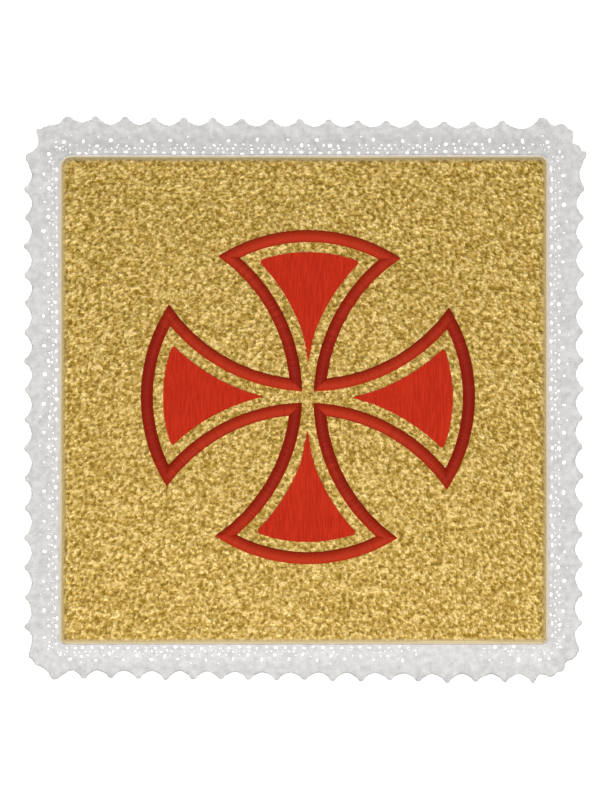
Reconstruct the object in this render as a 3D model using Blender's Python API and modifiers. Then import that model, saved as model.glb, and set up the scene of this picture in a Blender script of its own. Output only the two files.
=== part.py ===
"""Chalice pall: a stiff square panel of gold cloth, edged with white lace and worked with a red cross.

It lies on its back on a flat surface. Metres, +Z up, +Y towards the top of the cross.
The origin is the centre of the panel's underside.
"""

import math

import bmesh
import bpy
from mathutils import Matrix, Vector

MM = 0.001
CLEARANCE = 0.3 * MM

# The panel is cloth drawn over a stiff sheet, so its rim is rolled and its four corners differ a little.
PANEL_SIDE = 150 * MM
PANEL_THICKNESS = 3 * MM
RIM_ROLL = 1.3 * MM
RIM_STEPS = 4
CORNER_STEPS = 6

# The rim is followed clockwise, seen from above: a side, then the corner at its end. Millimetres.
# Lace teeth: "first" and "last" are their places along the side, from its middle, and "bow" is how far on
# the middle teeth lie beyond even spacing. "reach" and "valley" are how far the tips and the notches stand
# out from the rim, at the side's two ends.
# "tips" are the teeth round the corner after it: degrees turned, reach, and reach of the notch after it.
RIM = (
    {"side": "top", "teeth": 15, "first": -64.6, "last": 61.4, "bow": 0.3, "reach": (12.6, 11.0),
     "valley": (10.1, 8.8), "radius": 2.2,
     "tips": ((6, 12.5, 10.6), (31, 12.4, 12.0), (45, 12.5, 10.4), (75, 13.0, 10.2))},
    {"side": "right", "teeth": 16, "first": -65.3, "last": 69.4, "bow": -1.0, "reach": (11.5, 11.1),
     "valley": (9.3, 8.8), "radius": 1.5,
     "tips": ((22, 10.8, 9.4), (56, 10.6, 10.3), (74, 11.0, 9.9))},
    {"side": "bottom", "teeth": 17, "first": -71.3, "last": 68.4, "bow": 1.3, "reach": (12.5, 11.1),
     "valley": (9.9, 8.7), "radius": 1.2,
     "tips": ((17, 12.0, 10.4), (62, 11.7, 8.9))},
    {"side": "left", "teeth": 16, "first": -70.6, "last": 65.4, "bow": 1.1, "reach": (11.5, 11.4),
     "valley": (9.2, 9.2), "radius": 3.0,
     "tips": ((14, 11.5, 9.3), (48, 12.9, 11.0), (84, 12.7, 10.8))},
)

# The lace is one strip, sewn into the rim's seam. It goes once round and laps over its own start.
LACE_THICKNESS = 1 * MM
REACH_SWAY = 0.2 * MM
TOOTH_SHARPNESS = 1.7
COLUMNS_PER_TOOTH = 6
LACE_ROWS = (0.0, 0.25, 0.6, 1.0)
SEAM_HEIGHT = 1.2 * MM
DROOP_WIDTH = 6 * MM
RIPPLE = 0.35 * MM
RIPPLES_ROUND = 31
# The strip keeps its length on a line this far from the rim, and is gathered inside it at a corner.
GATHER_LINE = 6 * MM
LAP_SIDE = 2
LAP_START = -54 * MM
LAP_LENGTH = 14 * MM
LAP_RAMP = 9 * MM
LAP_LIFT = LACE_THICKNESS + CLEARANCE

# The cross has four flared arms. Its outer edges lie on one circle, and each side of an arm is an arc
# whose centre lies on the next arm's axis.
CROSS_CENTRE = Vector((1.2 * MM, 0.9 * MM, 0))
CROSS_TURN = math.radians(-0.65)
CROSS_RADIUS = 51.7 * MM
SIDE_ARC_CENTRE = 58 * MM
SIDE_ARC_RADIUS = 52.5 * MM
BAND_WIDTH = 3.75 * MM
BAND_HEIGHT = 1 * MM
FIELD_INSET = 7.1 * MM
FIELD_RADIUS = 44.8 * MM
# How much of each edge is cut off at a field's two outer corners.
FIELD_BLUNT = 0.9 * MM
FIELD_HEIGHT = 0.6 * MM
FIELD_EDGE = 0.15 * MM
SIDE_ARC_STEPS = 8
OUTER_ARC_STEPS = 12
# The padded satin band's section: share of its width, share of its height.
BAND_SECTION = ((0, 0), (0.06, 0.45), (0.25, 0.88), (0.5, 1), (0.75, 0.88), (0.94, 0.45), (1, 0))
ARMS = ("right", "top", "left", "bottom")

GOLD = {"name": "gold_cloth", "colour": (0.58, 0.39, 0.10), "roughness": 0.45, "metallic": 0.6}
CRIMSON = {"name": "crimson_satin_stitch", "colour": (0.40, 0.015, 0.015), "roughness": 0.4, "metallic": 0}
SCARLET = {"name": "scarlet_fill_stitch", "colour": (0.53, 0.03, 0.013), "roughness": 0.5, "metallic": 0}
WHITE = {"name": "white_lace", "colour": (0.70, 0.69, 0.67), "roughness": 0.8, "metallic": 0}


def clear_scene():
    for obj in list(bpy.data.objects):
        bpy.data.objects.remove(obj)


def material(look):
    made = bpy.data.materials.get(look["name"])
    if made:
        return made
    made = bpy.data.materials.new(look["name"])
    made.use_nodes = True
    shader = made.node_tree.nodes["Principled BSDF"]
    shader.inputs["Base Color"].default_value = (*look["colour"], 1)
    shader.inputs["Roughness"].default_value = look["roughness"]
    shader.inputs["Metallic"].default_value = look["metallic"]
    return made


def add_piece(name, data, look, collection):
    piece = bpy.data.objects.new(name, data)
    data.materials.append(material(look))
    collection.objects.link(piece)
    return piece


def flat_curve(name, points, thickness):
    """A closed 2D outline, filled and thickened about its own plane."""
    curve = bpy.data.curves.new(name, "CURVE")
    curve.dimensions = "2D"
    curve.fill_mode = "BOTH"
    curve.extrude = thickness / 2
    spline = curve.splines.new("POLY")
    spline.points.add(len(points) - 1)
    for place, point in zip(spline.points, points):
        place.co = (point.x, point.y, 0, 1)
    spline.use_cyclic_u = True
    return curve


def turned(index):
    """Turns a side's own frame, +X along it and +Y outwards, to its place round the panel."""
    return Matrix.Rotation(-index * math.pi / 2, 3, "Z")


def corner_centre(index):
    inset = PANEL_SIDE / 2 - RIM[index]["radius"] * MM
    return turned(index) @ Vector((inset, inset, 0))


def side_start(index):
    """Where the side's straight run starts, measured along it from its middle."""
    return RIM[index - 1]["radius"] * MM - PANEL_SIDE / 2


def side_length(index):
    return PANEL_SIDE - (RIM[index - 1]["radius"] + RIM[index]["radius"]) * MM


def corner_length(index):
    """Length of the gather line round the corner that ends this side."""
    return (RIM[index]["radius"] * MM + GATHER_LINE) * math.pi / 2


def station_on_side(index, along):
    """Distance round the gather line, from the start of the top side's straight run."""
    before = sum(side_length(i) + corner_length(i) for i in range(index))
    return before + along - side_start(index)


def station_on_corner(index, degrees):
    start = station_on_side(index, side_start(index) + side_length(index))
    return start + corner_length(index) * degrees / 90


def full_turn():
    return sum(side_length(i) + corner_length(i) for i in range(len(RIM)))


def rim_at(station):
    """Point on the panel's rim and the outward direction there."""
    left = station % full_turn()
    for index in range(len(RIM)):
        if left <= side_length(index):
            point = Vector((side_start(index) + left, PANEL_SIDE / 2, 0))
            return turned(index) @ point, turned(index) @ Vector((0, 1, 0))
        left -= side_length(index)
        if left <= corner_length(index):
            turn = Matrix.Rotation(-left / corner_length(index) * math.pi / 2, 3, "Z")
            outward = turned(index) @ turn @ Vector((0, 1, 0))
            return corner_centre(index) + outward * RIM[index]["radius"] * MM, outward
        left -= corner_length(index)
    return rim_at(0)


def between(ends, share):
    return ends[0] + (ends[1] - ends[0]) * share


def lace_teeth():
    """Every tooth as its station, its reach from the rim and that of the notch after it, once round."""
    teeth = []
    for index, rim in enumerate(RIM):
        for number in range(rim["teeth"]):
            share = number / (rim["teeth"] - 1)
            along = between((rim["first"], rim["last"]), share) + rim["bow"] * math.sin(math.pi * share)
            station = station_on_side(index, along * MM)
            reach = between(rim["reach"], share) * MM + REACH_SWAY * math.sin(1.9 * number + index)
            teeth.append((station, reach, between(rim["valley"], share) * MM))
        for degrees, reach, valley in rim["tips"]:
            teeth.append((station_on_corner(index, degrees), reach * MM, valley * MM))
    return teeth


def lace_columns():
    """Station and reach of each column of the strip, from its start to its lapped end."""
    teeth = lace_teeth()
    run = teeth + [(station + full_turn(), reach, valley) for station, reach, valley in teeth]
    start = station_on_side(LAP_SIDE, LAP_START)
    end = start + full_turn() + LAP_LENGTH
    columns = []
    for (here, reach, valley), (there, next_reach, _) in zip(run, run[1:]):
        for step in range(COLUMNS_PER_TOOTH):
            share = step / COLUMNS_PER_TOOTH
            station = between((here, there), share)
            tip = between((reach, next_reach), share)
            notch = (tip - valley) * (1 - abs(1 - 2 * share) ** TOOTH_SHARPNESS)
            if start <= station <= end:
                columns.append((station, tip - notch))
    return columns


def smooth_step(share):
    share = min(1, max(0, share))
    return share * share * (3 - 2 * share)


def lace_height(station, out):
    """Height of the strip's middle: it leaves the seam, droops on to the surface, and rises for its lap."""
    droop = 1 - smooth_step(out / DROOP_WIDTH)
    lowest = LACE_THICKNESS / 2
    height = lowest + (SEAM_HEIGHT - lowest) * droop
    wave = math.sin(station / full_turn() * RIPPLES_ROUND * math.tau)
    ripple = RIPPLE * (0.5 + 0.5 * wave) * (1 - droop)
    end = station_on_side(LAP_SIDE, LAP_START) + full_turn()
    return height + ripple + LAP_LIFT * smooth_step((station - end + LAP_RAMP) / LAP_RAMP)


def build_panel(collection):
    outline = []
    for index, rim in enumerate(RIM):
        for step in range(CORNER_STEPS + 1):
            turn = Matrix.Rotation(-step / CORNER_STEPS * math.pi / 2, 3, "Z")
            outward = turned(index) @ turn @ Vector((0, 1, 0))
            outline.append(corner_centre(index) + outward * rim["radius"] * MM)
    panel = add_piece("panel", flat_curve("panel", outline, PANEL_THICKNESS), GOLD, collection)
    panel.location.z = PANEL_THICKNESS / 2
    weld = panel.modifiers.new("Weld", "WELD")
    weld.merge_threshold = 0.01 * MM
    roll = panel.modifiers.new("Rolled rim", "BEVEL")
    roll.width = RIM_ROLL
    roll.segments = RIM_STEPS
    roll.limit_method = "ANGLE"
    roll.angle_limit = math.radians(60)
    return panel


def build_lace(collection):
    """A grid of columns and rows, laid round the rim and thickened."""
    columns = lace_columns()
    bm = bmesh.new()
    bmesh.ops.create_grid(bm, x_segments=len(columns) - 1, y_segments=len(LACE_ROWS) - 1, size=0.5)
    for vertex in bm.verts:
        column = round((vertex.co.x + 0.5) * (len(columns) - 1))
        row = round((vertex.co.y + 0.5) * (len(LACE_ROWS) - 1))
        station, reach = columns[column]
        out = CLEARANCE + (reach - CLEARANCE) * LACE_ROWS[row]
        point, outward = rim_at(station)
        vertex.co = point + outward * out
        vertex.co.z = lace_height(station, out)
    bmesh.ops.recalc_face_normals(bm, faces=bm.faces)
    mesh = bpy.data.meshes.new("lace_edging")
    bm.to_mesh(mesh)
    bm.free()
    lace = add_piece("lace_edging", mesh, WHITE, collection)
    body = lace.modifiers.new("Lace thickness", "SOLIDIFY")
    body.thickness = LACE_THICKNESS
    body.offset = 0
    return lace


def side_arc_corner(side_radius):
    """Where the sides of two neighbouring arms meet: the same distance along both axes."""
    return (SIDE_ARC_CENTRE - math.sqrt(2 * side_radius**2 - SIDE_ARC_CENTRE**2)) / 2


def arm_tip(outer_radius, side_radius):
    """Where an arm's side meets its outer arc."""
    across = (SIDE_ARC_CENTRE**2 + outer_radius**2 - side_radius**2) / (2 * SIDE_ARC_CENTRE)
    return Vector((across, math.sqrt(outer_radius**2 - across**2), 0))


def arm_outline(outer_radius, side_radius, root_height, blunt=0):
    """One arm, pointing along +Y: up its right side, over its outer arc and down its left side.

    blunt is how much of each arc is cut off at the two tips.
    """
    tip = arm_tip(outer_radius, side_radius)
    low = math.asin(root_height / side_radius)
    high = math.asin(tip.y / side_radius) - blunt / side_radius
    right = []
    for step in range(SIDE_ARC_STEPS + 1 if blunt else SIDE_ARC_STEPS):
        angle = low + (high - low) * step / SIDE_ARC_STEPS
        across = SIDE_ARC_CENTRE - side_radius * math.cos(angle)
        right.append(Vector((across, side_radius * math.sin(angle), 0)))
    half = math.atan2(tip.x, tip.y) - blunt / outer_radius
    over = []
    for step in range(OUTER_ARC_STEPS + 1):
        angle = half - 2 * half * step / OUTER_ARC_STEPS
        over.append(Vector((math.sin(angle), math.cos(angle), 0)) * outer_radius)
    left = [Vector((-point.x, point.y, 0)) for point in reversed(right)]
    return right + over + left


def arm_frame(number):
    """Turns an arm that points along +Y to its place in the cross."""
    return Matrix.Rotation(CROSS_TURN + (number - 1) * math.pi / 2, 3, "Z")


def cross_outline(inset):
    """The whole cross, counterclockwise, drawn in by inset from its outer edge."""
    side_radius = SIDE_ARC_RADIUS + inset
    root = side_arc_corner(side_radius)
    points = []
    for number in range(len(ARMS)):
        arm = arm_outline(CROSS_RADIUS - inset, side_radius, root)
        # An arm's last point is the next arm's first.
        points += [CROSS_CENTRE + arm_frame(number) @ point for point in arm[:-1]]
    return points


def build_cross_border(collection):
    """The satin band: one closed ring for each point of its section, bridged from ring to ring."""
    base = PANEL_THICKNESS + CLEARANCE
    bm = bmesh.new()
    rings = []
    for across, up in BAND_SECTION:
        points = cross_outline(across * BAND_WIDTH)
        verts = [bm.verts.new(Vector((p.x, p.y, base + up * BAND_HEIGHT))) for p in points]
        rings.append([bm.edges.new(pair) for pair in zip(verts, verts[1:] + verts[:1])])
    for ring, next_ring in zip(rings, rings[1:] + rings[:1]):
        bmesh.ops.bridge_loops(bm, edges=ring + next_ring)
    bmesh.ops.recalc_face_normals(bm, faces=bm.faces)
    mesh = bpy.data.meshes.new("cross_border")
    bm.to_mesh(mesh)
    bm.free()
    return add_piece("cross_border", mesh, CRIMSON, collection)


def build_cross_field(number, collection):
    """The filled shape inside one arm."""
    side_radius = SIDE_ARC_RADIUS + FIELD_INSET
    root = math.sqrt(side_radius**2 - SIDE_ARC_CENTRE**2)
    outline = arm_outline(FIELD_RADIUS, side_radius, root, FIELD_BLUNT)[:-1]
    points = [CROSS_CENTRE + arm_frame(number) @ point for point in outline]
    name = "cross_field_" + ARMS[number]
    field = add_piece(name, flat_curve(name, points, FIELD_HEIGHT), SCARLET, collection)
    field.location.z = PANEL_THICKNESS + CLEARANCE + FIELD_HEIGHT / 2
    weld = field.modifiers.new("Weld", "WELD")
    weld.merge_threshold = 0.01 * MM
    edge = field.modifiers.new("Soft edge", "BEVEL")
    edge.width = FIELD_EDGE
    edge.limit_method = "ANGLE"
    edge.angle_limit = math.radians(60)
    return field


def main():
    clear_scene()
    collection = bpy.data.collections.new("chalice_pall")
    bpy.context.scene.collection.children.link(collection)
    build_panel(collection)
    build_lace(collection)
    build_cross_border(collection)
    for number in range(len(ARMS)):
        build_cross_field(number, collection)


main()
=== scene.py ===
"""Looks of a chalice pall: gold cloth over a stiff square, a stitched red cross and a white lace edging.

Metres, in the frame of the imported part: +Z up, +Y towards the top of the cross.
"""

import math

import bmesh
import bpy
import numpy as np
from mathutils import Matrix, Vector, noise


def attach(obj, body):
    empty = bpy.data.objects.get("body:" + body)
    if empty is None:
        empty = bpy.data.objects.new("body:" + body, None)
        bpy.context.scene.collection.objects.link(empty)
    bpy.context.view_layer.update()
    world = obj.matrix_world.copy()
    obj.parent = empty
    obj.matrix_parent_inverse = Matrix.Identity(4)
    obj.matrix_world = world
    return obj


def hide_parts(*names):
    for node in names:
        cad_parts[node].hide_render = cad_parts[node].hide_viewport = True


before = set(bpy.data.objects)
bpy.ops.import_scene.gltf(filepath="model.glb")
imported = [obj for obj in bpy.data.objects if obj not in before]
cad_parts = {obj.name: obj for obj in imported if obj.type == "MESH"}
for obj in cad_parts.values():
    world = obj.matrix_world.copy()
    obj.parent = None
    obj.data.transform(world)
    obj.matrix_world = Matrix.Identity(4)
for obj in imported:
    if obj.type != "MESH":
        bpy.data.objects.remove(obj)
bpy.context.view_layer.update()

MM = 0.001
BODY = "root"

# The stiff panel, as in the solids.
PANEL_SIDE = 150 * MM
PANEL_TOP = 3 * MM
SEAM_HEIGHT = 2.1 * MM

# The rim is followed clockwise, seen from above: the top, right, bottom and left side, each with the corner
# at its end, whose radius is given. Millimetres.
# Lace teeth: "first" and "last" are their places along the side, from its middle, and "bow" is how far on
# the middle teeth lie beyond even spacing. "reach" and "valley" are how far the tips and the notches stand
# out from the rim, at the side's two ends.
# "tips" are the teeth round the corner after it: degrees turned, reach, and reach of the notch after it.
RIM = (
    {"teeth": 15, "first": -64.6, "last": 61.4, "bow": 0.3, "reach": (12.6, 11.0),
     "valley": (10.1, 8.8), "radius": 2.2,
     "tips": ((6, 12.5, 10.6), (31, 12.4, 12.0), (45, 12.5, 10.4), (67, 11.7, 11.2), (75, 13.0, 10.2))},
    {"teeth": 16, "first": -65.3, "last": 69.4, "bow": -1.0, "reach": (11.5, 11.1),
     "valley": (9.3, 8.8), "radius": 1.5,
     "tips": ((22, 10.9, 10.4), (32, 10.4, 9.4), (56, 10.6, 10.3), (74, 11.0, 9.9))},
    {"teeth": 17, "first": -71.3, "last": 68.4, "bow": 1.3, "reach": (12.5, 11.1),
     "valley": (9.9, 8.7), "radius": 1.2,
     "tips": ((17, 12.1, 10.4), (53, 11.2, 10.9), (62, 11.7, 9.0))},
    {"teeth": 16, "first": -70.6, "last": 65.4, "bow": 1.1, "reach": (11.5, 11.4),
     "valley": (9.2, 9.2), "radius": 3.0,
     "tips": ((14, 11.5, 9.3), (48, 13.1, 11.9), (57, 11.9, 11.0), (84, 12.7, 10.8))},
)

# Cloth over the panel.
CLOTH_CELLS = 150
CLOTH_THICKNESS = 0.3 * MM
# Rings of the cloth's grid nearest the seam, from inside the seam to the face: distance in from the rim in
# millimetres, and height from the seam as a share of the way to the face.
ROLLED_RIM = (
    {"inset": 1.1, "rise": 0.08},
    {"inset": 0.5, "rise": 0.08},
    {"inset": 0.10, "rise": 0.08},
    {"inset": 0.00, "rise": 0.18},
    {"inset": 0.12, "rise": 0.34},
    {"inset": 0.45, "rise": 0.64},
    {"inset": 0.90, "rise": 0.87},
    {"inset": 1.40, "rise": 0.96},
    {"inset": 2.00, "rise": 1.00},
)
# The cloth is uneven, in wide waves and in narrow ones half as high, from this far in from the rim on.
CLOTH_UNEVEN = 0.12 * MM
CLOTH_WAVES = (21 * MM, 7 * MM)
UNEVEN_FROM = 6 * MM
RIM_WANDER = 0.15 * MM
WANDER_WAVE = 30 * MM
# The cloth's fold has a painted pale sheen: wholly so up to the first distance in from the rim, and not past
# the second.
FOLD_SHEEN_SPAN = (0.1 * MM, 1.4 * MM)

# Gold lamé. Scales of its creases, their grain and the flecks on them, in waves a metre.
CREASE_SCALE = 780.0
GRAIN_SCALE = 1300.0
FLECK_SCALE = 2300.0
FLECK_SHARE = 0.24
CREASE_STRETCH = (1.1, 0.98, 1)
CREASE_TWIST = 0.3
CREASE_DEPTH = 0.55 * MM
GOLD_WEAVE_SHARE = 0.02
GOLD_METALLIC = 0.75
GOLD_ROUGHNESS = (0.5, 0.4)
FOLD_ROUGHNESS = 0.95
# Colours are 0 to 255 display values, with their places on the scale from dark to light.
GOLD_SHADES = ((0.30, (126, 96, 14)), (0.50, (168, 139, 66)), (0.70, (211, 183, 117)))
# The colour of the fold's painted sheen.
FOLD_SHEEN_COLOUR = (184, 165, 120)

# Lace: one strip, close at its toothed edge and open towards the seam. Its grid has two cells a thread.
REACH_SWAY = 0.2 * MM
# Each notch is rounded by a power. A tooth's shoulders are cut away and a picot stands on its tip.
TOOTH_SHARPNESS = 1.7
TOOTH_SHOULDER = 1.6 * MM
PICOT_HEIGHT = 1.1 * MM
PICOT_FLAT = 0.4 * MM
PICOT_FLANK = 1.15 * MM
LACE_VALLEY = 9.1 * MM
# Rows of the lace up to this share of its width run straight, and the others follow the teeth more and more.
ROWS_STRAIGHT = 0.35
GATHER_LINE = 6 * MM
THREAD_PITCH = 0.62 * MM
LACE_ROWS = 40
LACE_THICKNESS = 0.24 * MM
WEAVE_RELIEF = 0.05 * MM
OVER_UNDER = 0.04 * MM
LACE_START = -0.9 * MM
LACE_LOWEST = 0.35 * MM
DROOP_WIDTH = 8 * MM
RIPPLE = 0.4 * MM
RIPPLES_ROUND = 31
# Unevenness of soft lace: how far, over what wavelength, and the noise's seed.
SWAY_ALONG = (0.22 * MM, 4 * MM, 1.0)
SWAY_OUT = (0.22 * MM, 5 * MM, 5.0)
SHAKE_ALONG = (0.12 * MM, 1.1 * MM, 8.0)
SHAKE_OUT = (0.12 * MM, 1.1 * MM, 11.0)
SWAY_FROM = 3 * MM
LAP_SIDE = 2
LAP_START = -54 * MM
LAP_LENGTH = 19 * MM
LAP_RAMP = 9 * MM
LAP_LIFT = 0.45 * MM
LAP_END = 2.5 * MM
LAP_END_LIFT = 0.27 * MM
CORD_RADIUS = 0.22 * MM
EDGE_OUT = 0.2 * MM
RING_RADIUS = 0.1 * MM
RING_LIFT = 0.072 * MM
CORD_MERGE = 0.0005 * MM
# A bar of thread crosses each opening whose half width is over this. Each lies turned from the last one.
BARRED = 0.42 * MM
BAR_RADIUS = 0.08 * MM
BAR_TURN = 2.4
# The wave texture's scales that give one band for each thread: of the lace's own coordinates, and of gold
# cloth woven at 0.24 mm.
WEAVE_WAVE = math.pi / 10
GOLD_WEAVE = math.pi / 10 / (0.24 * MM)
RING_STEPS = 9
# Cotton: its colours, the painted shade in its gaps, and the painted reflection of the gold on the rows at
# the seam, in threads from the strip's straight edge.
COTTON_SHADES = ((0.3, (178, 176, 174)), (0.7, (222, 220, 218)))
GAP_SHADE_COLOUR = (120, 118, 116)
SEAM_GOLD_REFLECTION = (204, 186, 148)
SEAM_REFLECTION_ROWS = (2.3, 3.6)
# A cord runs along the strip at this share of its width.
INNER_CORD = 0.17

# Rows of openings: distance out from the rim, how many there are to a tooth, where the first lies as a
# share of the pitch, their width and height, and how many of them are worked shut. Millimetres.
OPENING_ROWS = (
    {"out": 1.7, "count": 3, "first": 0.02, "width": 1.15, "height": 0.80, "shut": 0.05},
    {"out": 2.95, "count": 5, "first": 0.14, "width": 0.56, "height": 0.54, "shut": 0.20},
    {"out": 4.1, "count": 1, "first": 0.05, "width": 1.04, "height": 1.00, "shut": 0.02},
    {"out": 4.1, "count": 2, "first": 0.30, "width": 0.54, "height": 0.54, "shut": 0.20},
    {"out": 5.5, "count": 1, "first": 0.55, "width": 0.96, "height": 1.04, "shut": 0.02},
    {"out": 6.8, "count": 1, "first": 0.10, "width": 0.46, "height": 0.46, "shut": 0.60},
)
# How far each opening is off its place, along and (in millimetres) out, and how its size and shape vary.
STRAY_ALONG = 0.16 * MM
STRAY_OUT = 0.2
OPENING_SIZES = (0.7, 1.25)
OPENING_STRETCH = (0.85, 1.2)
# Between teeth closer than the corner pitch, rows nearer the seam than this many millimetres are left out.
CORNER_PITCH = 6 * MM
SEAM_ROW_OUT = 2.5
FULL_PITCH = 9 * MM
# No opening lies nearer than this to the lap, or to where two lengths of the strip meet.
LAP_CLEAR = 0.5 * MM
JOINT_CLEAR = 1.1 * MM
# Each length of the strip starts this many columns under the end of the last, and this much lower.
TUCKED_COLUMNS = 2
TUCK_DEPTH = 0.04 * MM
# The grid is parted out to this many times an opening's size. Cells nearer than the cut are taken out.
OPENING_SPREAD = 1.7
OPENING_CUT = 0.66

# The cross, as in the solids.
CROSS_CENTRE = Vector((1.2 * MM, 0.9 * MM, 0))
CROSS_TURN = math.radians(-0.65)
CROSS_RADIUS = 51.7 * MM
SIDE_ARC_CENTRE = 58 * MM
SIDE_ARC_RADIUS = 52.5 * MM
BAND_WIDTH = 3.75 * MM
FIELD_INSET = 7.1 * MM
FIELD_RADIUS = 44.8 * MM
# Fill stitches overhang the outline that they are counted by, so this is less than in the solids.
FIELD_BLUNT = 0.72 * MM
ARMS = ("right", "top", "left", "bottom")

# Stitches.
SATIN_PITCH = 0.4 * MM
SATIN_WIDTH = 0.46 * MM
SATIN_THICKNESS = 0.26 * MM
BAND_RISE = 1.25 * MM
BAND_FULLNESS = 0.9
MITRE_OVERLAP = 0.2 * MM
JUST_SHORT = 0.05 * MM
SHORTEST_SATIN = 0.35 * MM
# Satin is given a painted sheen: lighter where its threads lie up and down. The power makes the lean ones
# darker.
SHEEN_LIE_POWER = 1.5
SATIN_TINT_SPREAD = 0.12
SATIN_ANGLE_SPREAD = 0.00025
FILL_PITCH = 0.33 * MM
FILL_WIDTH = 0.38 * MM
FILL_THICKNESS = 0.22 * MM
FILL_LENGTH = 3.6 * MM
FILL_LAP = 0.1 * MM
SHORTEST_FILL = 0.6 * MM
# The field is felt out in steps this long, and a row with fewer of them inside it is left out.
FIELD_STEP = 0.12 * MM
FEWEST_STEPS = 5
# How far each row's stitches are set on from those of the row before, as a share of their length.
FILL_SET_ON = 0.382
FILL_RISE = 0.32 * MM
FIELD_CORNER_WAY = Vector((0.88, 0.47, 0))
# How much nearer the cross's centre each field's pointed end runs than two plain arcs would bring it.
FIELD_TAILS = {"right": 0.1, "top": 0.6, "left": -0.5, "bottom": 0.7}
TAIL_FROM = 22 * MM
TAIL_LENGTH = 10 * MM
CLOTH_SINK = 0.08 * MM
# The padding's height, as a share of the solid's, and how near two of its corners are to be one.
BORDER_PADDING = 0.8
FIELD_PADDING = 0.45
PADDING_MERGE = 0.01 * MM

# Threads: dark and light colour, and roughness.
# On the satin, the dark and light colours also carry its painted sheen, by the way its threads lie.
CRIMSON = ((137, 23, 5), (171, 43, 14), 0.5)
SCARLET = ((175, 36, 11), (193, 45, 17), 0.7)
# Scales of the thread's fibre and of its clouds, in waves a metre, and the relief of its fibre.
SEWING_THREAD = (9000.0, 120.0, 0.05 * MM)
COTTON_THREAD = (5000.0, 550.0, 0.08 * MM)

# The set. The photograph is 800 pixels high and shows the panel at this many pixels a millimetre.
PHOTO_HEIGHT = 800
PIXELS_A_MM = 3.233
CAMERA_ACROSS = -1.24 * MM
LENS = 100
SENSOR_WIDTH = 36
FLOOR_SIZE = 8
FLOOR_DROP = 0.05 * MM
FLOOR_GLOW = 0.8
SKY_STRENGTH = 0.5
LIGHTS = (
    {"name": "key", "place": (-0.08, -1.3, 1.25), "size": 1.3, "power": 22.0},
    {"name": "overhead", "place": (0.0, 0.0, 1.5), "size": 1.0, "power": 8.0},
)

RANDOM = np.random.default_rng(7)


def srgb(colour):
    """The linear values of a colour given as 0 to 255 display values."""
    return tuple(((c / 255 + 0.055) / 1.055) ** 2.4 if c > 10 else c / 255 / 12.92 for c in colour)


def add_node(tree, kind, inputs=None, **settings):
    """Adds a node. An input is set to its value, or linked where that is another node's socket."""
    node = tree.nodes.new(kind)
    for name, value in settings.items():
        setattr(node, name, value)
    for name, value in (inputs or {}).items():
        socket = node.inputs[name]
        if isinstance(value, bpy.types.NodeSocket):
            tree.links.new(value, socket)
        else:
            socket.default_value = value
    return node


def coloured(tree, shade, stops):
    """The shade from 0 to 1 turned to colour, through stops of place and colour."""
    node = add_node(tree, "ShaderNodeValToRGB", {"Fac": shade})
    ramp = node.color_ramp
    while len(ramp.elements) < len(stops):
        ramp.elements.new(0.5)
    for element, (place, colour) in zip(ramp.elements, stops):
        element.position = place
        element.color = (*srgb(colour), 1)
    return node.outputs["Color"]


def mixed(tree, factor, a, b):
    """One value mixed into another."""
    return add_node(tree, "ShaderNodeMix", {"Factor": factor, "A": a, "B": b}).outputs["Result"]


def tinted(tree, factor, colour, tint):
    """A colour mixed towards a plain one."""
    inputs = {"Factor": factor, "A": colour, "B": (*srgb(tint), 1)}
    return add_node(tree, "ShaderNodeMix", inputs, data_type="RGBA").outputs["Result"]


def noised(tree, place, scale, detail, twist=0.0):
    """Soft noise from 0 to 1 on these coordinates."""
    inputs = {"Vector": place, "Scale": scale, "Detail": detail, "Distortion": twist}
    return add_node(tree, "ShaderNodeTexNoise", inputs).outputs["Fac"]


def waved(tree, place, scale, way):
    """Bands from 0 to 1 across the X or the Y of these coordinates."""
    return add_node(tree, "ShaderNodeTexWave", {"Vector": place, "Scale": scale},
                    bands_direction=way).outputs["Fac"]


def ranged(tree, value, source, target):
    """A value carried from one range, its low and high, to another."""
    inputs = {"Value": value, "From Min": source[0], "From Max": source[1], "To Min": target[0],
              "To Max": target[1]}
    return add_node(tree, "ShaderNodeMapRange", inputs).outputs["Result"]


def bumped(tree, shader, strength, depth, height):
    """Gives the shader a relief of this depth."""
    bump = add_node(tree, "ShaderNodeBump", {"Strength": strength, "Distance": depth, "Height": height})
    tree.links.new(bump.outputs["Normal"], shader.inputs["Normal"])


def new_material(name):
    """A new material, its node tree and its shader."""
    made = bpy.data.materials.new(name)
    made.use_nodes = True
    return made, made.node_tree, made.node_tree.nodes["Principled BSDF"]


def spun_thread_group():
    """Shade and height of spun thread, from fine noise on the object's coordinates."""
    group = bpy.data.node_groups.new("spun_thread", "ShaderNodeTree")
    for name in ("Fibre Scale", "Cloud Scale"):
        group.interface.new_socket(name, in_out="INPUT", socket_type="NodeSocketFloat")
    for name in ("Shade", "Height"):
        group.interface.new_socket(name, in_out="OUTPUT", socket_type="NodeSocketFloat")
    start = group.nodes.new("NodeGroupInput")
    end = group.nodes.new("NodeGroupOutput")
    place = add_node(group, "ShaderNodeTexCoord").outputs["Object"]
    fibre = noised(group, place, start.outputs["Fibre Scale"], 2.0)
    cloud = noised(group, place, start.outputs["Cloud Scale"], 3.0)
    group.links.new(mixed(group, 0.5, fibre, cloud), end.inputs["Shade"])
    group.links.new(fibre, end.inputs["Height"])
    return group


def spun(tree, group, thread):
    """The thread's own copy of the spun thread group."""
    node = add_node(tree, "ShaderNodeGroup", node_tree=group)
    node.inputs["Fibre Scale"].default_value = thread[0]
    node.inputs["Cloud Scale"].default_value = thread[1]
    return node


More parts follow.
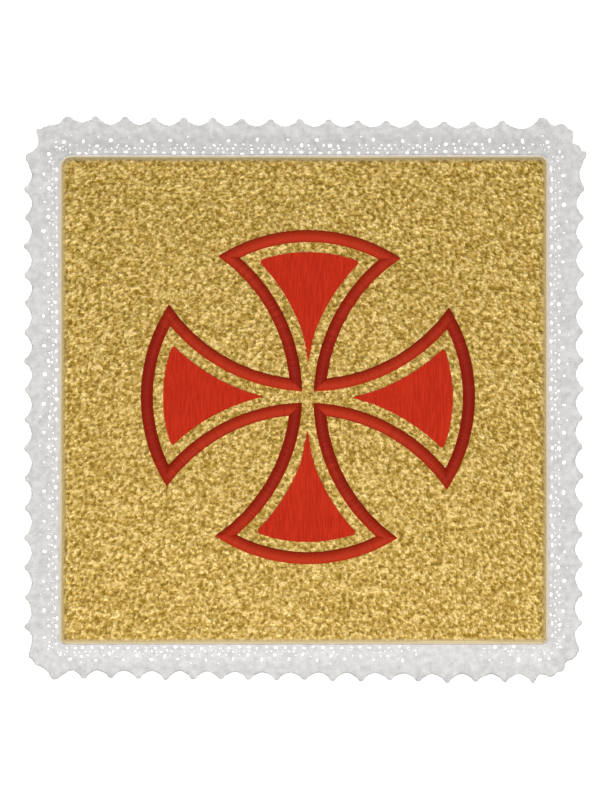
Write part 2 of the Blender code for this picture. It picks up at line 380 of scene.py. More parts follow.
def gold_cloth(name):
    """Crinkled gold lamé: small worm-like creases that catch the light, over a fine weave."""
    made, tree, shader = new_material(name)
    place = add_node(tree, "ShaderNodeTexCoord").outputs["Object"]
    wide = add_node(tree, "ShaderNodeMapping", {"Vector": place, "Scale": CREASE_STRETCH}).outputs["Vector"]
    crease = noised(tree, wide, CREASE_SCALE, 0.4, CREASE_TWIST)
    grain = noised(tree, wide, GRAIN_SCALE, 0.0, CREASE_TWIST)
    fleck = noised(tree, place, FLECK_SCALE, 0.0)
    colour = coloured(tree, mixed(tree, FLECK_SHARE, crease, fleck), GOLD_SHADES)
    # The fold at the rim has a painted pale sheen, and is dull.
    rim = add_node(tree, "ShaderNodeAttribute", attribute_name="rim").outputs["Fac"]
    sheen = ranged(tree, grain, (0.3, 0.7), GOLD_ROUGHNESS)
    warp, weft = waved(tree, place, GOLD_WEAVE, "X"), waved(tree, place, GOLD_WEAVE, "Y")
    relief = mixed(tree, GOLD_WEAVE_SHARE, mixed(tree, 0.5, crease, grain), mixed(tree, 0.5, warp, weft))
    tree.links.new(tinted(tree, rim, colour, FOLD_SHEEN_COLOUR), shader.inputs["Base Color"])
    tree.links.new(ranged(tree, rim, (0, 1), (GOLD_METALLIC, 0)), shader.inputs["Metallic"])
    tree.links.new(mixed(tree, rim, sheen, FOLD_ROUGHNESS), shader.inputs["Roughness"])
    bumped(tree, shader, 1.0, CREASE_DEPTH, relief)
    return made


def thread_material(name, group, look):
    """Sewing thread. Each stitch's own tint shades it: random tone, and on the satin a painted sheen too."""
    dark, light, roughness = look
    made, tree, shader = new_material(name)
    thread = spun(tree, group, SEWING_THREAD)
    tint = add_node(tree, "ShaderNodeAttribute", attribute_name="tint").outputs["Fac"]
    shade = mixed(tree, 0.5, thread.outputs["Shade"], tint)
    tree.links.new(coloured(tree, shade, ((0.3, dark), (0.7, light))), shader.inputs["Base Color"])
    bumped(tree, shader, 0.3, SEWING_THREAD[2], thread.outputs["Height"])
    shader.inputs["Roughness"].default_value = roughness
    shader.inputs["Specular IOR Level"].default_value = 0.12
    return made


def white_cotton(name, group, woven):
    """Matt cotton. Where it is woven, the gaps between its threads get painted shade and follow the strip's
    own coordinates.
    """
    made, tree, shader = new_material(name)
    thread = spun(tree, group, COTTON_THREAD)
    shade, height = coloured(tree, thread.outputs["Shade"], COTTON_SHADES), thread.outputs["Height"]
    if woven:
        weave = add_node(tree, "ShaderNodeUVMap", uv_map="weave").outputs["UV"]
        along, across = waved(tree, weave, WEAVE_WAVE, "X"), waved(tree, weave, WEAVE_WAVE, "Y")
        gap = add_node(tree, "ShaderNodeMath", {0: along, 1: across}, operation="MULTIPLY").outputs["Value"]
        # Painted shade in the gaps between the threads.
        shade = tinted(tree, ranged(tree, gap, (0.35, 1), (0, 0.22)), shade, GAP_SHADE_COLOUR)
        # The straight edge, sewn in at the rim, gets a painted warm reflection of the gold.
        out = add_node(tree, "ShaderNodeSeparateXYZ", {"Vector": weave}).outputs["Y"]
        shade = tinted(tree, ranged(tree, out, SEAM_REFLECTION_ROWS, (1, 0)), shade, SEAM_GOLD_REFLECTION)
        height = add_node(tree, "ShaderNodeMath", {0: height, 1: gap}, operation="SUBTRACT").outputs["Value"]
    bumped(tree, shader, 0.5, COTTON_THREAD[2], height)
    tree.links.new(shade, shader.inputs["Base Color"])
    shader.inputs["Roughness"].default_value = 0.9
    shader.inputs["Specular IOR Level"].default_value = 0.2
    return made


def piece_from(name, mesh, material, slot, *nodes):
    """A finished piece: shown, riding on the pall and standing for its CAD nodes."""
    piece = bpy.data.objects.new(name, mesh)
    bpy.context.scene.collection.objects.link(piece)
    piece.data.materials.clear()
    piece.data.materials.append(material)
    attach(piece, BODY)
    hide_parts(*nodes)
    return piece


def only(piece):
    """Selects this object alone."""
    bpy.ops.object.select_all(action="DESELECT")
    piece.select_set(True)
    bpy.context.view_layer.objects.active = piece


def smooth_step(share):
    """An even rise from 0 to 1, slow at both ends."""
    share = min(1, max(0, share))
    return share * share * (3 - 2 * share)


def soft_noise(x, y, wavelength, seed):
    """Noise of about -1 to 1 over the plane."""
    return noise.noise(Vector((x / wavelength, y / wavelength, seed)))


def uneven(x, y, sway):
    """How far this sway moves a point: its size, wavelength and seed."""
    size, wavelength, seed = sway
    return size * soft_noise(x, y, wavelength, seed)


def turned(index):
    """The turn from the top side to this one."""
    return Matrix.Rotation(-index * math.pi / 2, 3, "Z")


def corner_centre(index):
    """The middle of the round corner after this side."""
    inset = PANEL_SIDE / 2 - RIM[index]["radius"] * MM
    return turned(index) @ Vector((inset, inset, 0))


def side_start(index):
    """Where the side's straight run starts, from the side's middle."""
    return RIM[index - 1]["radius"] * MM - PANEL_SIDE / 2


def side_length(index):
    """Length of the side's straight run."""
    return PANEL_SIDE - (RIM[index - 1]["radius"] + RIM[index]["radius"]) * MM


def corner_length(index):
    """Length of the gather line round the corner after this side."""
    return (RIM[index]["radius"] * MM + GATHER_LINE) * math.pi / 2


def station_on_side(index, along):
    """Distance round the gather line, from the start of the top side's straight run."""
    before = sum(side_length(i) + corner_length(i) for i in range(index))
    return before + along - side_start(index)


def station_on_corner(index, degrees):
    """The same, for a place so many degrees round the corner after this side."""
    start = station_on_side(index, side_start(index) + side_length(index))
    return start + corner_length(index) * degrees / 90


FULL_TURN = sum(side_length(i) + corner_length(i) for i in range(len(RIM)))


def rim_at(station):
    """Point on the panel's rim, and the outward direction there."""
    left = station % FULL_TURN
    for index in range(len(RIM)):
        if left <= side_length(index):
            point = Vector((side_start(index) + left, PANEL_SIDE / 2, 0))
            return turned(index) @ point, turned(index) @ Vector((0, 1, 0))
        left -= side_length(index)
        if left <= corner_length(index):
            turn = Matrix.Rotation(-left / corner_length(index) * math.pi / 2, 3, "Z")
            outward = turned(index) @ turn @ Vector((0, 1, 0))
            return corner_centre(index) + outward * RIM[index]["radius"] * MM, outward
        left -= corner_length(index)
    return rim_at(0)


def between(ends, share):
    """The value at this share of the way between two."""
    return ends[0] + (ends[1] - ends[0]) * share


def lace_teeth():
    """Every tooth as its station, its reach from the rim and that of the notch after it, once round."""
    teeth = []
    for index, rim in enumerate(RIM):
        for number in range(rim["teeth"]):
            share = number / (rim["teeth"] - 1)
            along = between((rim["first"], rim["last"]), share) + rim["bow"] * math.sin(math.pi * share)
            station = station_on_side(index, along * MM)
            reach = between(rim["reach"], share) * MM + REACH_SWAY * math.sin(1.9 * number + index)
            teeth.append((station, reach, between(rim["valley"], share) * MM))
        for degrees, reach, valley in rim["tips"]:
            teeth.append((station_on_corner(index, degrees), reach * MM, valley * MM))
    return teeth


TEETH = lace_teeth()
TEETH_TWICE = TEETH + [(station + FULL_TURN, reach, valley) for station, reach, valley in TEETH]
STRIP_START = station_on_side(LAP_SIDE, LAP_START)
STRIP_END = STRIP_START + FULL_TURN + LAP_LENGTH


def toothed_reach(share, pitch, tip, valley):
    """How far the edge stands out between two teeth: a round notch, and a picot on each tooth's tip."""
    notch = (tip - valley) * (1 - abs(1 - 2 * share) ** TOOTH_SHARPNESS)
    away = min(share, 1 - share) * pitch
    shoulder = PICOT_HEIGHT * max(0, 1 - away / TOOTH_SHOULDER)
    picot = PICOT_HEIGHT * (1 - smooth_step((away - PICOT_FLAT) / PICOT_FLANK))
    return tip - notch - shoulder + picot


def strip_columns():
    """The columns of the strip's grid: station and reach of each."""
    columns = []
    for (here, reach, valley), (there, next_reach, _) in zip(TEETH_TWICE, TEETH_TWICE[1:]):
        count = 2 * max(2, round((there - here) / THREAD_PITCH))
        for number in range(count):
            share = number / count
            station = between((here, there), share)
            tip = between((reach, next_reach), share)
            if STRIP_START <= station <= STRIP_END:
                columns.append((station, toothed_reach(share, there - here, tip, valley)))
    return columns


def lace_height(station, out):
    """The lace leaves the seam, droops on to the surface, ripples and rises over its own start."""
    droop = 1 - smooth_step(out / DROOP_WIDTH)
    height = LACE_LOWEST + (SEAM_HEIGHT - LACE_LOWEST) * droop
    # Two waves that don't keep step.
    wave = math.sin(station / FULL_TURN * RIPPLES_ROUND * math.tau)
    wave += 0.6 * math.sin(station / FULL_TURN * (2.7 * RIPPLES_ROUND) * math.tau + out / MM)
    ripple = RIPPLE * max(0, 0.4 + 0.4 * wave) * (1 - droop)
    overlap = STRIP_START + FULL_TURN
    lift = LAP_LIFT * smooth_step((station - overlap + LAP_RAMP) / LAP_RAMP)
    lift -= (LAP_LIFT - LAP_END_LIFT) * smooth_step((station - STRIP_END + LAP_END) / LAP_END)
    return height + ripple + lift


JOINTS = [station_on_corner(index, 45) for index in range(len(RIM))]


def near_joint(station):
    """Whether the station is where two lengths of the strip lie over each other."""
    aways = ((station - joint + FULL_TURN / 2) % FULL_TURN - FULL_TURN / 2 for joint in JOINTS)
    return any(abs(away) < JOINT_CLEAR for away in aways)


def strip_openings():
    """Station, distance out and half sizes of each opening in the strip."""
    openings = []
    for (here, *_), (there, *_) in zip(TEETH_TWICE, TEETH_TWICE[1:]):
        pitch = there - here
        if not STRIP_START - pitch < here < STRIP_END:
            continue
        for row in OPENING_ROWS:
            if pitch < CORNER_PITCH and row["out"] < SEAM_ROW_OUT:
                continue
            count = max(1, round(row["count"] * min(1, pitch / FULL_PITCH)))
            for number in range(count):
                place = row["first"] + number / count
                station = here + place * pitch + RANDOM.normal(0, STRAY_ALONG)
                out = (row["out"] + RANDOM.normal(0, STRAY_OUT)) * MM
                size = RANDOM.uniform(*OPENING_SIZES)
                stretch = RANDOM.uniform(*OPENING_STRETCH)
                # The strip's end, lapped over its start, is worked shut.
                lapped = station > STRIP_START + FULL_TURN - LAP_CLEAR
                if RANDOM.uniform() > row["shut"] and not lapped and not near_joint(station):
                    half_width = size * stretch * row["width"] / 2 * MM + RING_RADIUS
                    half_height = size / stretch * row["height"] / 2 * MM + RING_RADIUS
                    openings.append((station, out, half_width, half_height))
    return openings


def cell_middles(values):
    """The mean of each cell's four corners."""
    return (values[1:, 1:] + values[1:, :-1] + values[:-1, 1:] + values[:-1, :-1]) / 4


def parted(stations, outs, openings):
    """The grid parted round the openings, where it bunches up, and which of its cells are cut out."""
    power = OPENING_SPREAD / (OPENING_SPREAD - 1)
    middle_stations, middle_outs = cell_middles(stations), cell_middles(outs)
    cut = np.zeros(middle_stations.shape, bool)
    moved_stations, moved_outs = stations.copy(), outs.copy()
    for station, out, half_width, half_height in openings:
        here = np.hypot((middle_stations - station) / half_width, (middle_outs - out) / half_height)
        inside = here < max(OPENING_CUT, here.min() + 1e-6)
        along = (stations - station) / half_width
        across = (outs - out) / half_height
        distance = np.maximum(np.hypot(along, across), 0.05)
        near = distance < OPENING_SPREAD
        if not near.any() or here.min() > 1:
            continue
        cut |= inside
        edge = np.zeros(stations.shape, bool)
        for di in (0, 1):
            for dj in (0, 1):
                edge[di:di + inside.shape[0], dj:dj + inside.shape[1]] |= inside
        pushed = 1 + (OPENING_SPREAD - 1) * (distance / OPENING_SPREAD) ** power
        pushed[edge] = 1
        factor = pushed / distance
        moved_stations[near] = station + (along * factor * half_width)[near]
        moved_outs[near] = out + (across * factor * half_height)[near]
    return moved_stations, moved_outs, cut


def strip_grid(columns):
    """Station and distance out of every point of the strip: columns by rows."""
    across = np.linspace(0, 1, LACE_ROWS + 1)[None, :]
    stations = np.repeat(np.array([c[0] for c in columns])[:, None], LACE_ROWS + 1, axis=1)
    reach = np.array([c[1] for c in columns])[:, None]
    straight = LACE_START + (LACE_VALLEY - LACE_START) * across
    toothed = LACE_START + (reach - LACE_START) * across
    follow = np.clip((across - ROWS_STRAIGHT) / (1 - ROWS_STRAIGHT), 0, 1)
    return stations, straight * (1 - follow) + toothed * follow


def laid(station, out, lift=0.0):
    """A point of the lace in space, with the small unevenness of soft lace."""
    drift = uneven(station, out, SWAY_OUT) + uneven(station, out, SHAKE_OUT)
    station += uneven(station, out, SWAY_ALONG) + uneven(station, out, SHAKE_ALONG)
    drift *= smooth_step(out / SWAY_FROM)
    point, outward = rim_at(station)
    point = point + outward * (out + drift)
    point.z = lace_height(station, out) + lift
    return point


def woven_lift(column, row):
    """Height of a point of the weave: threads stand proud where they cross, over and under by turns."""
    ribs = WEAVE_RELIEF * (math.cos(math.pi * column) + math.cos(math.pi * row)) / 2
    return ribs + OVER_UNDER * math.cos(math.pi * column / 2) * math.cos(math.pi * row / 2)


def lace_piece(piece, material, crease):
    """Finishes a piece of the lace, shaded smooth up to this crease in degrees."""
    bpy.ops.object.shade_smooth_by_angle(angle=math.radians(crease))
    piece.data.materials.clear()
    piece.data.materials.append(material)
    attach(piece, BODY)
    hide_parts("lace_edging")


def lace_sheet(name, columns, openings, first, material):
    """One length of the strip's woven ground, with its openings cut out."""
    length = len(columns) - 1
    bpy.ops.object.select_all(action="DESELECT")
    bpy.ops.mesh.primitive_grid_add(x_subdivisions=length, y_subdivisions=LACE_ROWS, size=1)
    sheet = bpy.context.object
    sheet.name = name
    sheet.data.name = name
    # The weave's own coordinates: one thread is one unit.
    weave = sheet.data.uv_layers.active
    weave.name = "weave"
    uv = np.empty(2 * len(weave.data))
    weave.data.foreach_get("uv", uv)
    uv = uv.reshape(-1, 2) * (length / 2, LACE_ROWS / 2)
    weave.data.foreach_set("uv", uv.ravel())
    stations, outs, cut = parted(*strip_grid(columns), openings)
    for vertex in sheet.data.vertices:
        i = round((vertex.co.x + 0.5) * length)
        j = round((vertex.co.y + 0.5) * LACE_ROWS)
        vertex.select = False
        tuck = TUCK_DEPTH * (i < TUCKED_COLUMNS + 1) * (first > 0)
        vertex.co = laid(stations[i, j], outs[i, j], woven_lift(first + i, j) - tuck)
    for edge in sheet.data.edges:
        edge.select = False
    for face in sheet.data.polygons:
        middle = uv[face.loop_start:face.loop_start + face.loop_total].mean(axis=0) * 2
        face.select = bool(cut[int(middle[0]), int(middle[1])])
    only(sheet)
    bpy.ops.object.mode_set(mode="EDIT")
    bpy.ops.mesh.delete(type="FACE")
    bpy.ops.object.mode_set(mode="OBJECT")
    body = sheet.modifiers.new("Lace thickness", "SOLIDIFY")
    body.thickness = LACE_THICKNESS
    body.offset = 0
    bpy.ops.object.modifier_apply(modifier=body.name)
    lace_piece(sheet, material, crease=50)
    return sheet


def round_opening(opening, angle, lift):
    """The point of an opening's edge at this angle from its middle."""
    station, out, half_width, half_height = opening
    return laid(station + half_width * math.cos(angle), out + half_height * math.sin(angle), lift)


def lace_cords(name, columns, openings, material):
    """The cords worked on one length of the lace: round its edge and openings, and along it."""
    data = bpy.data.curves.new(name, "CURVE")
    data.dimensions = "3D"
    data.bevel_depth = CORD_RADIUS
    data.bevel_resolution = 1
    data.use_fill_caps = True
    add_thread(data, [laid(station, reach + EDGE_OUT) for station, reach in columns])
    inner = between((LACE_START, LACE_VALLEY), INNER_CORD)
    add_thread(data, [laid(station, inner, LACE_THICKNESS / 2) for station, _ in columns[::2]])
    for number, opening in enumerate(openings):
        if not columns[0][0] < opening[0] < columns[-1][0]:
            continue
        turns = [math.tau * step / RING_STEPS for step in range(RING_STEPS)]
        ring = [round_opening(opening, angle, RING_LIFT) for angle in turns]
        add_thread(data, ring, RING_RADIUS / CORD_RADIUS, True)
        if opening[2] > BARRED:
            bar = [round_opening(opening, BAR_TURN * number + side, 0) for side in (0, math.pi)]
            add_thread(data, bar, BAR_RADIUS / CORD_RADIUS)
    cords = bpy.data.objects.new(name, data)
    bpy.context.scene.collection.objects.link(cords)
    only(cords)
    bpy.ops.object.convert(target="MESH")
    cords = bpy.context.object
    # The cords' end caps are loose until their doubles are merged.
    bpy.ops.object.mode_set(mode="EDIT")
    bpy.ops.mesh.select_all(action="SELECT")
    bpy.ops.mesh.remove_doubles(threshold=CORD_MERGE)
    bpy.ops.object.mode_set(mode="OBJECT")
    lace_piece(cords, material, crease=75)
    return cords


def add_thread(data, points, thickness=1, closed=False):
    """One run of thread through these points. Its thickness is a share of the cord's."""
    spline = data.splines.new("POLY")
    spline.points.add(len(points) - 1)
    spline.points.foreach_set("co", [value for p in points for value in (*p, 1)])
    spline.points.foreach_set("radius", [thickness] * len(points))
    spline.use_cyclic_u = closed


def lace_edging(woven, plain):
    """The whole strip, in lengths that meet at the corners."""
    columns = strip_columns()
    openings = strip_openings()
    corners = sorted(c if c > STRIP_START else c + FULL_TURN for c in JOINTS)
    cuts = [STRIP_START, *corners, STRIP_END]
    names = ("lace_bottom", "lace_left", "lace_top", "lace_right", "lace_bottom_lapped")
    for name, low, high in zip(names, cuts, cuts[1:]):
        first = next(i for i, c in enumerate(columns) if c[0] >= low - 1e-9)
        last = max(i for i, c in enumerate(columns) if c[0] <= high + 1e-9)
        last = min(last + 1, len(columns) - 1)
        # Each length starts a column or two under the end of the last, so that no gap shows between them.
        first = max(0, first - TUCKED_COLUMNS)
        part = columns[first:last + 1]
        sheet = lace_sheet(name, part, openings, first, woven)
        cords = lace_cords(name + "_cords", part, openings, plain)


def cloth_face(name, side, material):
    """One face of the cover, rolled round the rim and turned in at the seam. side is 1 in front or -1."""
    bpy.ops.object.select_all(action="DESELECT")
    bpy.ops.mesh.primitive_grid_add(x_subdivisions=CLOTH_CELLS, y_subdivisions=CLOTH_CELLS, size=CLOTH_CELLS)
    cloth = bpy.context.object
    cloth.name = name
    cloth.data.name = name
    middle = CLOTH_CELLS / 2
    rolled = len(ROLLED_RIM)
    last = ROLLED_RIM[-1]["inset"] * MM
    radii = {(1, 1): 0, (1, -1): 1, (-1, -1): 2, (-1, 1): 3}
    fold_sheen = []
    depth = PANEL_TOP - SEAM_HEIGHT if side > 0 else SEAM_HEIGHT
    for vertex in cloth.data.vertices:
        i, j = round(vertex.co.x + middle), round(vertex.co.y + middle)
        ring = min(i, j, CLOTH_CELLS - i, CLOTH_CELLS - j)
        if ring < rolled:
            inset = ROLLED_RIM[ring]["inset"] * MM
            rise = ROLLED_RIM[ring]["rise"] * depth
        else:
            share = (ring - rolled + 1) / (middle - rolled + 1)
            inset = last + (PANEL_SIDE / 2 - last) * share
            rise = depth
        half = PANEL_SIDE / 2 - inset
        span = max(CLOTH_CELLS - 2 * ring, 1)
        x = half * (2 * (i - ring) / span - 1) if ring < middle else 0
        y = half * (2 * (j - ring) / span - 1) if ring < middle else 0
        radius = max(0, RIM[radii[(1 if x >= 0 else -1, 1 if y >= 0 else -1)]]["radius"] * MM - inset)
        if radius and abs(x) > half - radius and abs(y) > half - radius:
            corner = Vector((abs(x) - (half - radius), abs(y) - (half - radius)))
            corner = corner.normalized() * radius
            x = math.copysign(half - radius + corner.x, x)
            y = math.copysign(half - radius + corner.y, y)
        # The fold's painted sheen, as a share from 0 to 1.
        fold_sheen.append(1 - smooth_step((inset - FOLD_SHEEN_SPAN[0]) / (FOLD_SHEEN_SPAN[1] - FOLD_SHEEN_SPAN[0])))
        fade = smooth_step(inset / UNEVEN_FROM)
        wide, narrow = (soft_noise(x, y, wave, seed + side) for wave, seed in zip(CLOTH_WAVES, (0, 3)))
        # Let down a little, so that few of the waves stand above the solid.
        height = rise + CLOTH_UNEVEN * (wide + 0.5 * narrow - 0.6) * fade
        wander_x = RIM_WANDER * soft_noise(x, y, WANDER_WAVE, 9)
        wander_y = RIM_WANDER * soft_noise(x, y, WANDER_WAVE, 14)
        vertex.co = (x + wander_x, y + wander_y, SEAM_HEIGHT + side * height)
    # The rim attribute carries the fold's painted sheen to the material.
    rim = cloth.data.attributes.new("rim", "FLOAT", "POINT")
    rim.data.foreach_set("value", fold_sheen)
    only(cloth)
    if side < 0:
        bpy.ops.object.mode_set(mode="EDIT")
        bpy.ops.mesh.select_all(action="SELECT")
        bpy.ops.mesh.flip_normals()
        bpy.ops.object.mode_set(mode="OBJECT")
    thickness = cloth.modifiers.new("Cloth thickness", "SOLIDIFY")
    thickness.thickness = CLOTH_THICKNESS
    thickness.offset = -1
    bpy.ops.object.modifier_apply(modifier=thickness.name)
    bpy.ops.object.shade_smooth()
    cloth.data.materials.append(material)
    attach(cloth, BODY)
    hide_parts("panel")
    return cloth


def stitch_pattern(sides, cuts):
    """One stitch, as a bar one long, one wide and one high, cut across so that it can arch."""
    bpy.ops.object.select_all(action="DESELECT")
    bpy.ops.mesh.primitive_cylinder_add(vertices=sides, radius=0.5, depth=1, rotation=(0, math.pi / 2, 0))
    stitch = bpy.context.object
    bpy.ops.object.transform_apply(location=False, rotation=True, scale=False)
    bpy.ops.object.mode_set(mode="EDIT")
    bpy.ops.mesh.select_all(action="DESELECT")
    bm = bmesh.from_edit_mesh(stitch.data)
    for edge in bm.edges:
        edge.select = abs(edge.verts[0].co.x - edge.verts[1].co.x) > 0.5
    bmesh.update_edit_mesh(stitch.data)
    bpy.ops.mesh.subdivide(number_cuts=cuts)
    bpy.ops.object.mode_set(mode="OBJECT")
    corners = np.array([v.co for v in stitch.data.vertices])
    faces = [tuple(p.vertices) for p in stitch.data.polygons]
    bpy.data.objects.remove(stitch)
    return corners, faces


def sew(name, pattern, stitches, width, thickness, material, slot, nodes):
    """Copies the stitch to each place, given as its start, end, height at each share of it and tint."""
    corners, faces = pattern
    share = corners[:, 0] + 0.5
    all_corners, all_faces, tints = [], [], []
    for number, (start, end, height, tint) in enumerate(stitches):
        start, end = np.array(start), np.array(end)
        along = end - start
        length = np.linalg.norm(along)
        sideways = np.array((-along[1], along[0])) / length
        flat = start + share[:, None] * along + corners[:, 1:2] * width * sideways
        rise = height(share) + corners[:, 2] * thickness
        all_corners.append(np.column_stack([flat, rise]))
        first = number * len(corners)
        all_faces += [tuple(first + c for c in face) for face in faces]
        tints.append(np.full(len(corners), tint))
    mesh = bpy.data.meshes.new(name)
    mesh.from_pydata(np.concatenate(all_corners).tolist(), [], all_faces)
    shades = mesh.attributes.new("tint", "FLOAT", "POINT")
    shades.data.foreach_set("value", np.concatenate(tints).astype(np.float32))
    piece = piece_from(name, mesh, material, slot, *nodes)
    only(piece)
    # Round along the thread, square at its ends.
    bpy.ops.object.shade_smooth_by_angle(angle=math.radians(80))
    return piece


def side_arc_corner(side_radius):
    """How far across and up two neighbouring side arcs of this radius meet."""
    return (SIDE_ARC_CENTRE - math.sqrt(2 * side_radius**2 - SIDE_ARC_CENTRE**2)) / 2


def arm_tip(outer_radius, side_radius):
    """Where an outer arc and a side arc of these radii meet, on an arm that points up."""
    across = (SIDE_ARC_CENTRE**2 + outer_radius**2 - side_radius**2) / (2 * SIDE_ARC_CENTRE)
    return Vector((across, math.sqrt(outer_radius**2 - across**2), 0))


def arm_frame(number):
    """The turn from an arm that points up to this arm."""
    return Matrix.Rotation(CROSS_TURN + (number - 1) * math.pi / 2, 3, "Z")


def meet(origin, direction, a, b):
    """How far along the direction from the origin the line through a and b is crossed."""
    line = b - a
    across = direction.x * line.y - direction.y * line.x
    if abs(across) < 1e-12:
        return None
    gap = a - origin
    return (gap.x * line.y - gap.y * line.x) / across


def band_stitches():
    """Satin stitches across the band, cut off at the mitres of its corners."""
    inner_side = SIDE_ARC_RADIUS + BAND_WIDTH
    root = side_arc_corner(SIDE_ARC_RADIUS)
    inner_root = side_arc_corner(inner_side)
    tip = arm_tip(CROSS_RADIUS, SIDE_ARC_RADIUS)
    inner_tip = arm_tip(CROSS_RADIUS - BAND_WIDTH, inner_side)
    right = Vector((SIDE_ARC_CENTRE, 0, 0))
    root_mitre = (Vector((root, root, 0)), Vector((inner_root, inner_root, 0)))
    tip_mitre = (tip, inner_tip)
    mirror = Matrix.Scale(-1, 3, Vector((1, 0, 0)))
    runs = (
        {"centre": right, "near": SIDE_ARC_RADIUS, "far": inner_side,
         "from": root_mitre, "to": tip_mitre, "mirrored": False},
        {"centre": Vector((0, 0, 0)), "near": CROSS_RADIUS - BAND_WIDTH, "far": CROSS_RADIUS,
         "from": tip_mitre, "to": tuple(mirror @ p for p in tip_mitre), "mirrored": False},
        {"centre": right, "near": SIDE_ARC_RADIUS, "far": inner_side,
         "from": root_mitre, "to": tip_mitre, "mirrored": True},
    )
    stitches = []
    for number in range(len(ARMS)):
        for run in runs:
            ends = []
            for corner in (*run["from"], *run["to"]):
                ray = corner - run["centre"]
                ends.append(math.atan2(ray.y, ray.x) % math.tau)
            low, high = min(ends), max(ends)
            radius = (run["near"] + run["far"]) / 2
            middle = run["centre"] + heading((low + high) / 2) * radius
            count = round((high - low) * radius / SATIN_PITCH)
            for step in range(count + 1):
                angle = low + (high - low) * step / count + RANDOM.normal(0, SATIN_ANGLE_SPREAD)
                ray = heading(angle)
                near, far = between_mitres(run, ray, middle)
                if far - near < SHORTEST_SATIN:
                    continue
                start = run["centre"] + ray * near
                end = run["centre"] + ray * far
                if run["mirrored"]:
                    start, end = mirror @ start, mirror @ end
                start = CROSS_CENTRE + arm_frame(number) @ start
                end = CROSS_CENTRE + arm_frame(number) @ end
                span = (near - run["near"]) / BAND_WIDTH, (far - run["near"]) / BAND_WIDTH
                # Painted sheen: stitches whose threads lie up and down are tinted lighter, the lean ones
                # darker.
                painted_sheen = abs((end - start).normalized().y) ** SHEEN_LIE_POWER
                tint = painted_sheen + RANDOM.normal(0, SATIN_TINT_SPREAD)
                stitches.append((start[:2], end[:2], band_height(*span), tint))
    return stitches


def heading(angle):
    """The direction at this angle from +X."""
    return Vector((math.cos(angle), math.sin(angle), 0))


def between_mitres(run, ray, middle):
    """How far from the run's centre a stitch along this ray starts and ends. middle lies in the run."""
    near, far = run["near"], run["far"]
    for a, b in (run["from"], run["to"]):
        cross = meet(run["centre"], ray, a, b)
        if cross is None:
            continue
        inside = side_of(a, b, middle)
        if not near < cross < far:
            if side_of(a, b, run["centre"] + ray * ((run["near"] + run["far"]) / 2)) * inside < 0:
                near = far
        elif side_of(a, b, run["centre"] + ray * (cross - JUST_SHORT)) * inside > 0:
            far = cross + MITRE_OVERLAP
        else:
            near = cross - MITRE_OVERLAP
    return near, far


def side_of(a, b, point):
    """Above 0 where the point is to the left of the line from a to b, and below 0 to the right."""
    return (b.x - a.x) * (point.y - a.y) - (b.y - a.y) * (point.x - a.x)


def band_height(low, high):
    """Height along a stitch that spans these shares of the band's width."""
    def height(share):
        place = np.clip(low + (high - low) * share, 0, 1)
        crown = BAND_RISE * np.sin(math.pi * place) ** BAND_FULLNESS
        return PANEL_TOP - CLOTH_SINK + crown
    return height


def in_field(point, arm):
    """Whether a point of the cross's own frame, turned so that its arm points up, is in the arm's field."""
    if point.y <= 0 or point.length > FIELD_RADIUS:
        return False
    tail = FIELD_TAILS[arm] * MM * smooth_step((TAIL_FROM - point.y) / TAIL_LENGTH)
    reach = SIDE_ARC_RADIUS + FIELD_INSET - tail
    right = math.hypot(point.x - SIDE_ARC_CENTRE, point.y)
    left = math.hypot(point.x + SIDE_ARC_CENTRE, point.y)
    corner = arm_tip(FIELD_RADIUS, SIDE_ARC_RADIUS + FIELD_INSET)
    beyond = Vector((abs(point.x), point.y, 0)) - corner
    blunt = beyond.dot(FIELD_CORNER_WAY) < -FIELD_BLUNT
    return right > reach and left > reach and blunt


def field_stitches(number):
    """Rows of fill stitch, each row's stitches set on from the last's."""
    level = Matrix.Rotation(CROSS_TURN, 3, "Z")
    turn = arm_frame(number).inverted() @ level
    stitches = []
    for row in range(int(2 * FIELD_RADIUS / FILL_PITCH) + 1):
        x = -FIELD_RADIUS + row * FILL_PITCH
        steps = range(int(2 * FIELD_RADIUS / FIELD_STEP) + 1)
        ways = [-FIELD_RADIUS + k * FIELD_STEP for k in steps]
        inside = [y for y in ways if in_field(turn @ Vector((x, y, 0)), ARMS[number])]
        if len(inside) < FEWEST_STEPS:
            continue
        low, high = inside[0], inside[-1]
        offset = (row * FILL_SET_ON % 1) * FILL_LENGTH
        first = math.floor((low - offset) / FILL_LENGTH)
        places = [low]
        while offset + (first + 1) * FILL_LENGTH < high:
            first += 1
            mark = offset + first * FILL_LENGTH
            if mark - places[-1] > SHORTEST_FILL and high - mark > SHORTEST_FILL:
                places.append(mark)
        places.append(high)
        for a, b in zip(places, places[1:]):
            start = CROSS_CENTRE + level @ Vector((x, a - FILL_LAP, 0))
            end = CROSS_CENTRE + level @ Vector((x, b + FILL_LAP, 0))
            stitches.append((start[:2], end[:2], fill_height, RANDOM.uniform(0, 1)))
    return stitches


def fill_height(share):
    """Height along a fill stitch, which arches a little."""
    crown = FILL_RISE * np.minimum(1, 0.97 + 0.3 * np.sin(math.pi * np.clip(share, 0, 1)))
    return PANEL_TOP - CLOTH_SINK + crown


def padding(name, node, squash, material, slot):
    """The layer under the stitches: the solid's own shape, let down on to the cloth."""
    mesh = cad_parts[node].data.copy()
    mesh.name = name
    piece = piece_from(name, mesh, material, slot, node)
    only(piece)
    bpy.ops.object.mode_set(mode="EDIT")
    bpy.ops.mesh.select_all(action="SELECT")
    bpy.ops.mesh.remove_doubles(threshold=PADDING_MERGE)
    bpy.ops.object.mode_set(mode="OBJECT")
    lowest = min(v.co.z for v in mesh.vertices)
    for vertex in mesh.vertices:
        vertex.co.z = PANEL_TOP - CLOTH_SINK + (vertex.co.z - lowest) * squash
    return piece


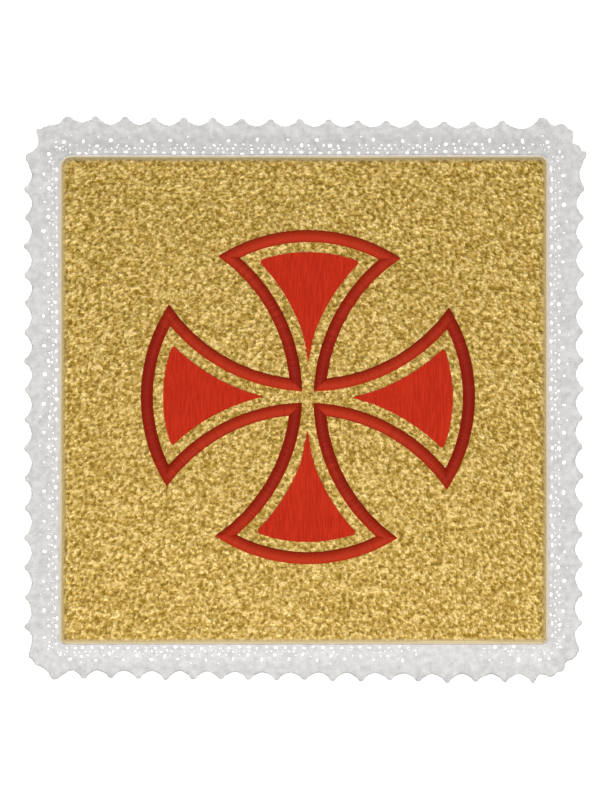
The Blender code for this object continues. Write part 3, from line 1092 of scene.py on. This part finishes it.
def studio():
    """A pale floor, lit from within and from above, and a plain sky."""
    bpy.ops.object.select_all(action="DESELECT")
    bpy.ops.mesh.primitive_plane_add(size=FLOOR_SIZE, location=(0, 0, -FLOOR_DROP))
    floor = bpy.context.object
    floor.name = "floor"
    made, _, shader = new_material("floor")
    shader.inputs["Base Color"].default_value = (0.9, 0.9, 0.9, 1)
    shader.inputs["Roughness"].default_value = 0.9
    # The pall is shown on a light table, so that the lace's openings are bright.
    shader.inputs["Emission Color"].default_value = (1, 1, 1, 1)
    shader.inputs["Emission Strength"].default_value = FLOOR_GLOW
    floor.data.materials.append(made)
    world = bpy.data.worlds.new("studio")
    world.use_nodes = True
    world.node_tree.nodes["Background"].inputs["Color"].default_value = (1, 1, 1, 1)
    world.node_tree.nodes["Background"].inputs["Strength"].default_value = SKY_STRENGTH
    bpy.context.scene.world = world
    for look in LIGHTS:
        data = bpy.data.lights.new(look["name"], "AREA")
        data.size = look["size"]
        data.energy = look["power"]
        light = bpy.data.objects.new(look["name"], data)
        light.location = look["place"]
        light.rotation_euler = (-Vector(look["place"])).to_track_quat("-Z", "Y").to_euler()
        bpy.context.scene.collection.objects.link(light)
    bpy.context.scene.view_settings.view_transform = "Standard"


def add_camera():
    """Straight above, with the panel where the photograph has it."""
    data = bpy.data.cameras.new("camera")
    data.lens = LENS
    data.sensor_width = SENSOR_WIDTH
    seen = PHOTO_HEIGHT / PIXELS_A_MM * MM
    camera = bpy.data.objects.new("camera", data)
    camera.location = (CAMERA_ACROSS, 0, seen * data.lens / data.sensor_width + PANEL_TOP)
    bpy.context.scene.collection.objects.link(camera)
    bpy.context.scene.camera = camera


def main():
    """Makes the set, then the pall's pieces from the cloth outwards."""
    add_camera()
    studio()
    group = spun_thread_group()
    gold = gold_cloth("gold_cloth")
    crimson = thread_material("crimson_satin", group, CRIMSON)
    scarlet = thread_material("scarlet_fill", group, SCARLET)
    woven = white_cotton("woven_cotton", group, True)
    plain = white_cotton("plain_cotton", group, False)
    cloth_face("front_cloth", 1, gold)
    cloth_face("back_cloth", -1, gold)
    padding("border_padding", "cross_border", BORDER_PADDING, crimson, "crimson_satin_stitch")
    sew("border_stitches", stitch_pattern(sides=6, cuts=4), band_stitches(), SATIN_WIDTH, SATIN_THICKNESS,
        crimson, "crimson_satin_stitch", ["cross_border"])
    for number, arm in enumerate(ARMS):
        node = "cross_field_" + arm
        padding("field_padding_" + arm, node, FIELD_PADDING, scarlet, "scarlet_fill_stitch")
        sew("field_stitches_" + arm, stitch_pattern(sides=5, cuts=2), field_stitches(number), FILL_WIDTH,
            FILL_THICKNESS, scarlet, "scarlet_fill_stitch", [node])
    lace_edging(woven, plain)


main()
